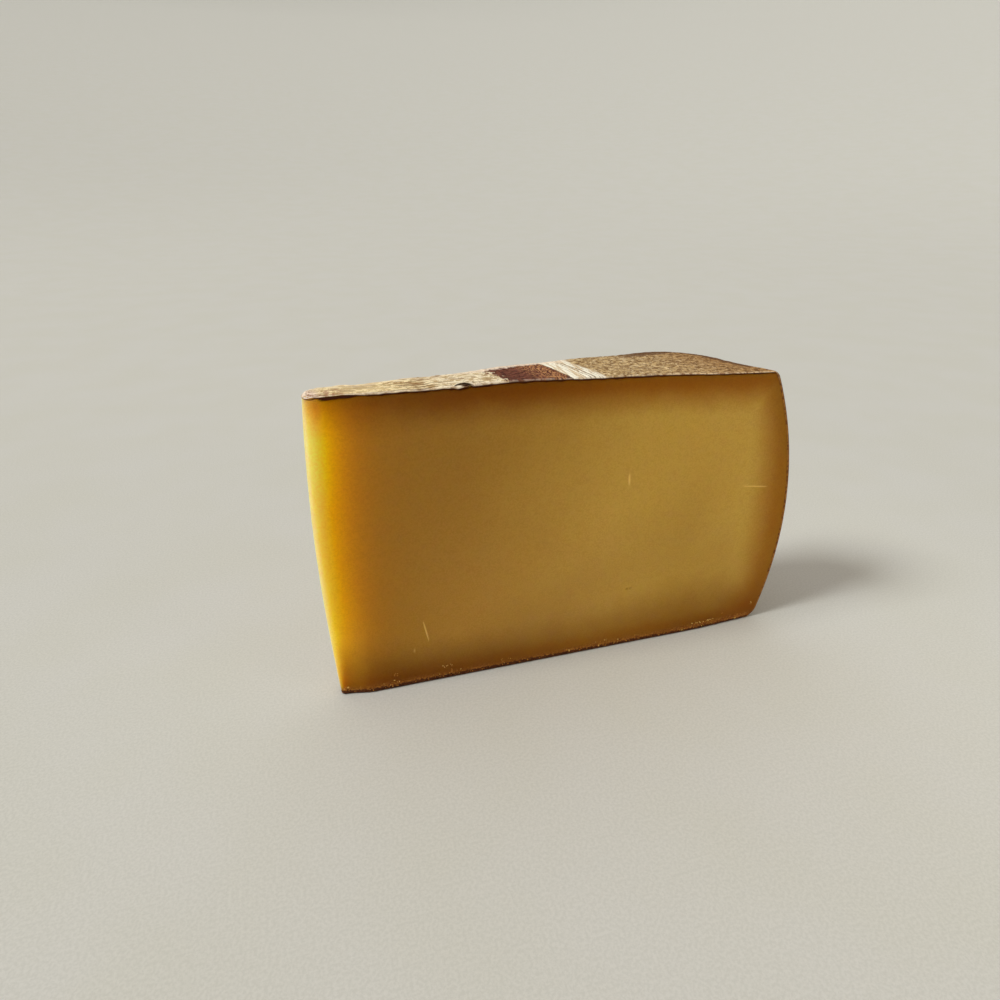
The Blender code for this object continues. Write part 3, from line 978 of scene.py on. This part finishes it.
# Distances at which the dry band is full and gone
SKIN_BAND, HEEL_BAND = (2.5, 15.0), (3.0, 17.0)
CRUMBLE_DARK, CRUMBLE_PALE = (0.22, 0.060, 0.011), (0.50, 0.195, 0.035)
# The base line is the base rind's own dark brown, widened up the paste as painted contact shade at the foot.
# The crevice colour is painted shade in the crevice under the top rind.
BASE_LINE_AND_CONTACT_SHADE, CREVICE_SHADE_COLOUR = (0.065, 0.017, 0.007), (0.075, 0.018, 0.006)
# The pit colour is painted shade in the pits.
SCUFF_COLOUR, PIT_SHADE_COLOUR = (1.0, 0.72, 0.19), (0.25, 0.12, 0.02)

# %% Ground colour and glow of the paste
cut = Finish("cut_paste")
from_end, height, end_side, back_side = cut.fields("from_end", "height", "end_side", "back_side")
skin_depth, heel_depth, foot, crevice = cut.fields("from_skin", "from_heel", "foot", "crevice")
scuff, pit = cut.fields("scuff", "pit")
mottle, speck = cut.noise(0.45, 4.0), cut.noise(2.0, 3.0, 0.65)
band_noise, crumble = cut.noise(0.12, 2.0, 0.5), cut.noise(1.3, 4.0, 0.65)

# The front cut's ground is darker than the paste's own gold, as painted shade where the sun only skims the
# cut. It pales towards the heel, partly the paste's own tone and partly painted fill light from the lamp at
# the front right.
paler_towards_heel = cut.rises(cut.plus(from_end, cut.swing(cut.noise(0.03, 2.0, 0.5), 30.0)), 35.0, 110.0)
# The lower middle of the front is paler: painted bounce light from the floor.
low = cut.times(
    cut.falls(height, 12.0, 92.0), cut.falls(from_end, 80.0, 125.0), cut.rises(from_end, 12.0, 45.0)
)
under_slope = cut.math("MULTIPLY_ADD", from_end, -0.62, height)
shade_end = cut.largest(
    cut.falls(from_end, 120.0, 142.0),
    cut.times(cut.falls(from_end, 136.0, 150.0), cut.falls(height, 28.0, 50.0)),
)
shade = cut.times(
    cut.falls(under_slope, -34.0, -2.0),
    cut.between(from_end, 80.0, 115.0, 1.0, 0.6),
    shade_end,
    cut.between(height, 3.0, 14.0, 0.3, 1.0),
)
colour = cut.blend(paler_towards_heel, FRONT_LEFT_TONE_AND_SHADE, FRONT_RIGHT_TONE_AND_SHADE)
colour = cut.tint(low, colour, BOUNCE_LIGHT_TINT)
colour = cut.tint(shade, colour, SHADE_TINT)

less_at_back = cut.math("MULTIPLY_ADD", back_side, -0.7, 1.0)
glow_share = cut.plus(cut.between(height, 3.0, 38.0, 0.43, 0.97), cut.rises(height, 40.0, 85.0, 0.16))
glow_share = cut.times(glow_share, less_at_back)
glow = cut.nodes.new("ShaderNodeCombineColor")
for channel, (gain, reach, least, most) in zip(glow.inputs, GLOW):
    fall = cut.math("POWER", cut.math("DIVIDE", from_end, reach), GLOW_POWER)
    fall = cut.times(cut.math("EXPONENT", cut.times(fall, -1.0)), glow_share)
    factor = cut.math("MULTIPLY_ADD", fall, gain, 1.0)
    cut.put(channel, cut.math("MINIMUM", cut.largest(factor, least), most))
colour = cut.blend(1.0, colour, glow.outputs[0], "MULTIPLY")
print("the glow reaches", [reach for _, reach, _, _ in GLOW], "mm in red, green and blue")

# %% Left end of the paste
# The left end and the rounded edge beside it are paler: the paste's own gold with a painted highlight where
# the sun from the left strikes them.
near_end_highlight = cut.times(cut.falls(from_end, 1.0, 6.0, 0.34), cut.between(height, 30.0, 80.0, 0.4, 1.0))
lit_end_colour = cut.blend(cut.rises(height, 10.0, 45.0), LIT_END_FOOT_COLOUR, LIT_END_COLOUR)
colour = cut.blend(cut.largest(end_side, near_end_highlight), colour, lit_end_colour)
# Near the top by the end the colour takes a lemon tint: more painted glow.
lemon_glow = cut.times(
    cut.falls(from_end, 1.0, 14.0),
    cut.rises(height, 62.0, 86.0),
    cut.rises(skin_depth, 2.5, 7.0),
    less_at_back,
    cut.rest(cut.times(end_side, cut.between(height, 66.0, 90.0, 1.0, 0.25))),
)
colour = cut.tint(lemon_glow, colour, LEMON_GLOW_TINT)
colour = cut.blend(cut.rises(end_side, 0.6, 0.95), colour, LIT_END_FACE_COLOUR)
pale = cut.blend(1.0, colour, PALE_TINT, "MULTIPLY")
colour = cut.layers(colour, (cut.rises(mottle, 0.4, 0.7, 0.5), pale), (cut.rises(speck, 0.38, 0.62), pale))
print("the end's face is", LIT_END_FACE_COLOUR)

# %% Dry bands, foot and marks of the paste
uneven_band = cut.swing(band_noise, 3.0)
from_skin, from_heel = cut.plus(skin_depth, uneven_band), cut.plus(heel_depth, uneven_band)
skin_band, heel_band = cut.falls(from_skin, *SKIN_BAND), cut.falls(from_heel, *HEEL_BAND, 0.9)
less_at_end = cut.math("MULTIPLY_ADD", end_side, -0.7, 1.0)
in_top_corner = cut.times(
    cut.falls(from_end, 2.0, 52.0, 0.52),
    cut.rises(height, 40.0, 60.0),
    cut.between(from_skin, 1.0, 8.0, 0.65, 1.0),
)
dry_band = cut.times(cut.largest(skin_band, heel_band), less_at_end, cut.rest(in_top_corner))
band_tint = cut.blend(cut.rises(height, 3.0, 9.5), FOOT_TINT, BASE_TINT)
band_tint = cut.blend(cut.largest(cut.rises(height, 14.0, 40.0), heel_band), band_tint, BAND_TINT)
colour = cut.tint(dry_band, colour, band_tint)
right_foot = cut.times(cut.falls(from_skin, 1.0, 6.0, 0.5), cut.rises(from_end, 104.0, 126.0))
both_bands = cut.times(skin_band, heel_band)
low_corner = cut.times(cut.largest(both_bands, right_foot), cut.falls(height, 15.0, 40.0))
colour = cut.tint(low_corner, colour, CORNER_TINT)

base_edge = cut.plus(
    height, cut.rises(from_end, 40.0, 150.0, 0.45), cut.between(crumble, 0.3, 0.7, -0.25, 0.25)
)
colour = cut.layers(
    colour,
    (cut.times(foot, cut.between(band_noise, 0.35, 0.62, 0.45, 0.95)),
     cut.blend(cut.rises(crumble, 0.42, 0.60), CRUMBLE_DARK, CRUMBLE_PALE)),
    (cut.times(cut.falls(base_edge, 1.3, 1.85, 0.92), foot), BASE_LINE_AND_CONTACT_SHADE),
    (scuff, SCUFF_COLOUR),
    (cut.times(pit, 0.6), PIT_SHADE_COLOUR),
    (crevice, CREVICE_SHADE_COLOUR),
)
dull = cut.largest(foot, crevice, cut.falls(from_heel, 0.5, 6.0, 0.85), cut.times(scuff, 0.7))
cut.finish(
    paste,
    Base_Color=colour,
    Roughness=cut.between(mottle, 0.3, 0.7, 0.40, 0.52),
    Subsurface_Weight=cut.rest(dull),
    Subsurface_Radius=(1.0, 0.55, 0.05),
    Subsurface_Scale=0.016,
    Specular_IOR_Level=0.07,
    Normal=cut.bump(speck, 0.03, 0.4, cut.bump(mottle, 0.10, 0.35)),
)

# %% [markdown]
# Finish of the rind
#
# From the left the top is cream and tan with brown grooves, pink at the rubbed corner. Then comes a brown
# band with orange specks, a cream band with dark lines along it, and a tan field that darkens to the heel.
# The bands cross the top and drift left going back, which the field `strip` already holds. Each
# field is a ground of two tones, picked by noise, with layers over it.

# %% Fields of the top rind
skin = Finish("striped_rind")
strip, groove, on_heel, on_base = skin.fields("strip", "groove", "on_heel", "on_base")
rise, to_back, cut_edge, beneath, hollow = skin.fields("rise", "to_back", "cut_edge", "beneath", "hollow")
bent = skin.noise(0.68, 4.0, 0.68, (0.45, 1.0, 1.0), 0.7)
dash = skin.noise(0.95, 4.0, 0.72, (0.60, 0.85, 1.0))
pitted = skin.noise(0.85, 4.0, 0.75, (0.8, 1.0, 1.0))
speckle = skin.noise(1.0, 3.0, 0.70, (1.5, 0.8, 1.0))
fibre = skin.noise(2.1, 2.0, 0.55, (0.22, 1.0, 1.0))
cream_lines = skin.noise(0.9, 3.0, 0.6, (1.0, 0.12, 1.0))
lumpy, patch, grit = skin.noise(0.55), skin.noise(0.09, 3.0, 0.55), skin.noise(0.9)
ragged_edge = skin.plus(strip, skin.swing(skin.noise(0.8), 14.0))
crisp_edge = skin.plus(strip, skin.swing(skin.noise(0.35, 2.0, 0.5), 1.2))

# On the left field the relief's ridges are painted paler and its hollows darker: painted highlight and shade.
left_field = skin.layers(
    skin.blend(skin.rises(bent, 0.43, 0.52), (0.62, 0.44, 0.23), (0.98, 0.84, 0.58)),
    (skin.rises(dash, 0.44, 0.37, 0.8), (0.36, 0.21, 0.10)),
    (skin.rises(pitted, 0.56, 0.64, 0.75), (0.40, 0.25, 0.12)),
    (skin.rises(rise, 0.02, 0.22, 0.6), (1.0, 0.89, 0.66)),
    (skin.rises(rise, -0.14, -0.32, 0.75), (0.28, 0.15, 0.065)),
    (skin.rises(patch, 0.52, 0.72, 0.3), (0.66, 0.46, 0.29)),
    (skin.times(groove, skin.between(strip, 10.0, 20.0, 0.35, 0.6)), (0.24, 0.125, 0.055)),
    (skin.times(skin.rises(strip, 6.0, 10.0, 0.28), skin.falls(strip, 17.0, 28.0)), (0.98, 0.82, 0.54)),
)
left_field = skin.tint(skin.falls(strip, 28.0, 40.0), left_field, (1.0, 0.95, 0.80))
pink_field = skin.blend(skin.rises(pitted, 0.44, 0.56), (0.96, 0.76, 0.62), (0.40, 0.22, 0.15))
left_field = skin.blend(skin.falls(strip, 1.0, 5.0, 0.8), left_field, pink_field)
brown_specks = skin.times(skin.rises(speckle, 0.48, 0.55), skin.between(strip, 61.5, 70.0, 0.10, 0.95))
brown_field = skin.layers(
    skin.blend(skin.rises(dash, 0.42, 0.58), (0.068, 0.018, 0.012), (0.185, 0.058, 0.036)),
    (brown_specks, (0.55, 0.26, 0.10)),
)
cream_field = skin.blend(skin.rises(cream_lines, 0.40, 0.50), (0.76, 0.58, 0.37), (1.0, 0.91, 0.72))
tan_field = skin.layers(
    skin.blend(skin.rises(dash, 0.45, 0.55), (0.235, 0.130, 0.050), (0.60, 0.405, 0.185)),
    (skin.rises(pitted, 0.54, 0.60, 0.75), (0.88, 0.68, 0.40)),
    (skin.rises(speckle, 0.44, 0.37, 0.6), (0.20, 0.10, 0.035)),
)
tan_field = skin.tint(skin.rises(crisp_edge, 102.0, 146.0), tan_field, (0.72, 0.56, 0.41))
tan_field = skin.blend(skin.times(groove, 0.4), tan_field, (0.15, 0.065, 0.022))
top_colour = skin.layers(
    left_field,
    (skin.rises(ragged_edge, BROWN_FROM - 0.3, BROWN_FROM + 0.5), brown_field),
    (skin.rises(crisp_edge, BROWN_TO - 0.15, BROWN_TO + 0.2), cream_field),
    (skin.rises(crisp_edge, CREAM_TO - 1.2, CREAM_TO + 0.8), tan_field),
)
print("stripes begin at", BROWN_FROM, BROWN_TO, CREAM_TO, "mm")

# %% Lines, lip and edges of the top rind
BORDER_TONE, LINE_TONE = (0.06, 0.028, 0.018), (0.20, 0.12, 0.06)
# Each line along the stripes: place on the strip, half width, share, tone
LINES = (
    (BROWN_TO - 0.1, 0.32, 0.85, BORDER_TONE),
    (75.7, 0.10, 0.4, LINE_TONE), (77.2, 0.15, 0.5, LINE_TONE), (78.5, 0.12, 0.5, LINE_TONE),
    (79.9, 0.26, 0.7, LINE_TONE), (81.2, 0.30, 0.8, LINE_TONE), (82.8, 0.16, 0.5, LINE_TONE),
    (83.7, 0.10, 0.4, LINE_TONE),
)
for place, half_width, share, tone in LINES:
    away = skin.math("ABSOLUTE", skin.math("SUBTRACT", crisp_edge, place))
    top_colour = skin.blend(skin.falls(away, half_width * 0.5, half_width * 1.5, share), top_colour, tone)

lip_low = skin.blend(skin.rises(strip, 48.0, 56.0), (0.62, 0.43, 0.28), (0.32, 0.16, 0.09))
lip_high = skin.blend(skin.rises(strip, 96.0, 106.0), (1.0, 0.84, 0.66), (0.92, 0.70, 0.43))
lip_share = skin.largest(
    skin.between(strip, BROWN_FROM - 4.0, BROWN_FROM + 2.0, 0.6, 0.24), skin.rises(strip, 96.0, 106.0, 0.65)
)
uneven_back = skin.math("MULTIPLY_ADD", lumpy, -5.0, skin.plus(to_back, 2.5))
# Along the back edge a pale line is a painted highlight where the lip catches the light, and towards the heel
# a dark outline is painted shade.
back_edge_highlight = skin.times(
    skin.falls(uneven_back, 1.0, 2.4),
    skin.between(dash, 0.36, 0.56, 0.55, 1.0),
    skin.falls(strip, 78.0, 90.0, 0.9),
    skin.between(strip, 40.0, 54.0, 0.3, 1.0),
)
back_edge_shade = skin.times(skin.falls(uneven_back, 2.4, 4.6), skin.rises(strip, 100.0, 114.0, 0.85))
corner_fibres = skin.times(
    skin.rises(strip, 3.5, 5.0),
    skin.falls(strip, 8.0, 11.0),
    skin.rises(to_back, 1.5, 3.0),
    skin.rises(pitted, 0.50, 0.54, 0.7),
)
top_colour = skin.layers(
    top_colour,
    (skin.times(cut_edge, lip_share), skin.blend(skin.rises(lumpy, 0.42, 0.54), lip_low, lip_high)),
    (back_edge_highlight, (0.94, 0.75, 0.56)),
    (back_edge_shade, (0.12, 0.052, 0.024)),
    (corner_fibres, (0.42, 0.19, 0.11)),
)
print(len(LINES), "lines run along the stripes")

# %% Heel, base and shader of the rind
heel_lip = skin.blend(skin.rises(grit, 0.40, 0.50), (0.19, 0.065, 0.016), (0.46, 0.195, 0.032))
heel_colour = skin.layers(
    skin.blend(skin.rises(grit, 0.35, 0.65), (0.17, 0.068, 0.020), (0.30, 0.145, 0.050)),
    (skin.rises(patch, 0.45, 0.7, 0.5), (0.38, 0.22, 0.095)),
    (skin.times(groove, 0.6), (0.08, 0.028, 0.009)),
    (skin.times(cut_edge, 0.85), heel_lip),
)
base_colour = skin.blend(skin.rises(grit, 0.40, 0.60), (0.060, 0.018, 0.007), (0.13, 0.045, 0.016))
# Undersides beneath the lip and the flake are near black, and the hollow under the flake is dark brown: both
# painted shade.
skin.finish(
    rind,
    flake,
    Base_Color=skin.layers(
        top_colour,
        (on_heel, heel_colour),
        (skin.times(beneath, 0.95), (0.085, 0.022, 0.009)),
        (on_base, base_colour),
        (hollow, (0.24, 0.075, 0.025)),
    ),
    Roughness=skin.between(grit, 0.3, 0.7, 0.72, 0.9),
    Specular_IOR_Level=0.06,
    Normal=skin.bump(grit, 0.25, 0.6, skin.bump(fibre, 0.30, 0.7)),
)

# %% [markdown]
# Finish of the crumbs
#
# The crumbs run from red brown rind to dry paste, and a few are pale. A tone drawn for each grain picks its
# place between them.

# %% Finish of the crumbs
grains = Finish("crumb_tones")
tone = grains.fields("tone")[0]
grain_noise = grains.noise(3.0)
grains.finish(
    crumbs,
    Base_Color=grains.layers(
        grains.blend(grains.rises(tone, 0.15, 0.7), (0.27, 0.075, 0.012), (0.48, 0.19, 0.030)),
        (grains.rises(tone, 0.88, 0.97), (0.95, 0.62, 0.16)),
        (grains.rises(grain_noise, 0.4, 0.7, 0.3), (0.46, 0.26, 0.07)),
    ),
    Roughness=0.75,
    Specular_IOR_Level=0.1,
    Normal=grains.bump(grain_noise, 0.05, 0.5),
)

# %% [markdown]
# The floor
#
# A wide shallow bowl of paper: flat under the slab, then rising so slowly, all round, that the sun from the
# left lights it almost as it lights the flat, and no edge shows. Its slope is a function of the radius,
# and its height is that slope's running total.

# %% Floor
FLOOR_START, FLOOR_REACH = 0.05, 30.0
FIRST_SLOPE, FIRST_FROM, FIRST_RUN = 11.5, 0.8, 2.4
LAST_SLOPE, LAST_FROM, LAST_RUN = 26.0, 14.0, 9.0
FLOOR_TURNS, FLOOR_RINGS = 128, 220
FLOOR_COLOUR, FLOOR_PATCH, FLOOR_GRAIN_TINT = (0.629, 0.600, 0.540), (0.619, 0.590, 0.518), (0.91, 0.91, 0.90)


def floor_section(radius):
    """Height over the radius: the slope's tangent, summed up by the trapezium rule."""
    slope = FIRST_SLOPE * ramp(radius, FIRST_FROM, FIRST_RUN) + LAST_SLOPE * ramp(radius, LAST_FROM, LAST_RUN)
    steep = np.tan(np.radians(slope))
    return np.concatenate([[0.0], np.cumsum(0.5 * (steep[1:] + steep[:-1]) * np.diff(radius))])


turn = np.linspace(0.0, 2.0 * np.pi, FLOOR_TURNS, endpoint=False)
radius = FLOOR_START + FLOOR_REACH * np.linspace(0.0, 1.0, FLOOR_RINGS) ** 2
floor_height = np.repeat(floor_section(radius)[:, None], FLOOR_TURNS, axis=1)
rings = np.stack([radius[:, None] * np.cos(turn), radius[:, None] * np.sin(turn), floor_height], axis=-1)
ring_index = np.arange(FLOOR_RINGS * FLOOR_TURNS).reshape(FLOOR_RINGS, FLOOR_TURNS)
next_turn = np.roll(ring_index, -1, axis=1)
around = [ring_index[:-1], ring_index[1:], next_turn[1:], next_turn[:-1]]
floor_quads = np.stack(around, axis=-1).reshape(-1, 4)
middle = ring_index[0].tolist()

floor_mesh = bpy.data.meshes.new("paper_floor")
floor_mesh.from_pydata(rings.reshape(-1, 3).tolist(), [], floor_quads.tolist() + [middle])
floor_mesh.polygons.foreach_set("use_smooth", np.ones(len(floor_mesh.polygons), dtype=bool))
floor_mesh.update()
floor = bpy.data.objects.new("paper_floor", floor_mesh)
bpy.context.scene.collection.objects.link(floor)
print("floor reaches", round(float(radius[-1]), 2), "m")

# %% Finish of the floor
paper = Finish("pale_paper")
patches, tooth, paper_grain = paper.noise(0.02, 3.0, 0.5), paper.noise(1.1), paper.noise(1.3, 3.0, 0.7)
paper_colour = paper.blend(paper.rises(patches, 0.3, 0.7), FLOOR_COLOUR, FLOOR_PATCH)
paper.finish(
    floor,
    Base_Color=paper.tint(paper.rises(paper_grain, 0.36, 0.64), paper_colour, FLOOR_GRAIN_TINT),
    Roughness=0.85,
    Specular_IOR_Level=0.2,
    Normal=paper.bump(tooth, 0.04, 0.3),
)
